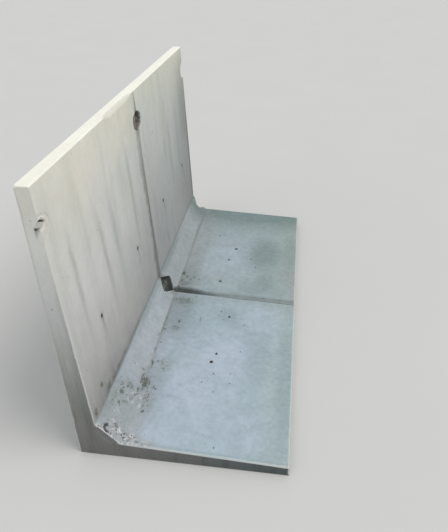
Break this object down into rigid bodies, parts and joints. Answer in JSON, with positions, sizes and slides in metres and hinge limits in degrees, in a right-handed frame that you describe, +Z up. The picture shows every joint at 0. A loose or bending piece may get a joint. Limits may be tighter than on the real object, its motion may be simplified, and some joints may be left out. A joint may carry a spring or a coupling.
{
  "type": "precast l-shaped retaining wall",
  "caption": "Precast concrete L-shaped retaining wall of equal units end to end, with a tapering stem, haunch and heel, bolted in pockets.",
  "frame": {"origin": "middle of the wall's footprint, at the base", "axes": "+X from the stem's outer face towards the heel's free end, +Y along the wall from the near unit to the far unit, +Z up"},
  "size_m": [1.65, 4.01, 2.3],
  "materials": {
    "concrete": "bare grey formed concrete, slightly mottled",
    "mortar": "rough trowelled mortar",
    "joint_board": "matte black joint board",
    "plate_steel": "dull galvanised steel with light rust",
    "bolt_steel": "dull galvanised steel",
    "socket_steel": "lightly rusted steel"
  },
  "bodies": {
    "root": {"near_unit": "concrete", "near_unit_near_upper_socket": "socket_steel", "near_unit_far_upper_socket": "socket_steel", "near_unit_near_lower_socket": "socket_steel", "near_unit_far_lower_socket": "socket_steel", "near_unit_near_stem_lifting_socket": "socket_steel", "near_unit_far_stem_lifting_socket": "socket_steel", "near_unit_heel_lifting_socket": "socket_steel", "far_unit": "concrete", "far_unit_near_upper_socket": "socket_steel", "far_unit_far_upper_socket": "socket_steel", "far_unit_near_lower_socket": "socket_steel", "far_unit_far_lower_socket": "socket_steel", "far_unit_near_stem_lifting_socket": "socket_steel", "far_unit_far_stem_lifting_socket": "socket_steel", "far_unit_heel_lifting_socket": "socket_steel", "upper_connection_plate": "plate_steel", "upper_near_washer": "bolt_steel", "upper_near_bolt": "bolt_steel", "upper_far_washer": "bolt_steel", "upper_far_bolt": "bolt_steel", "lower_connection_plate": "plate_steel", "lower_near_washer": "bolt_steel", "lower_near_bolt": "bolt_steel", "lower_far_washer": "bolt_steel", "lower_far_bolt": "bolt_steel", "stem_joint_board": "joint_board", "upper_pocket_mortar": "mortar", "near_stem_mortar": "mortar", "near_haunch_mortar": "mortar"}
  },
  "joints": []
}
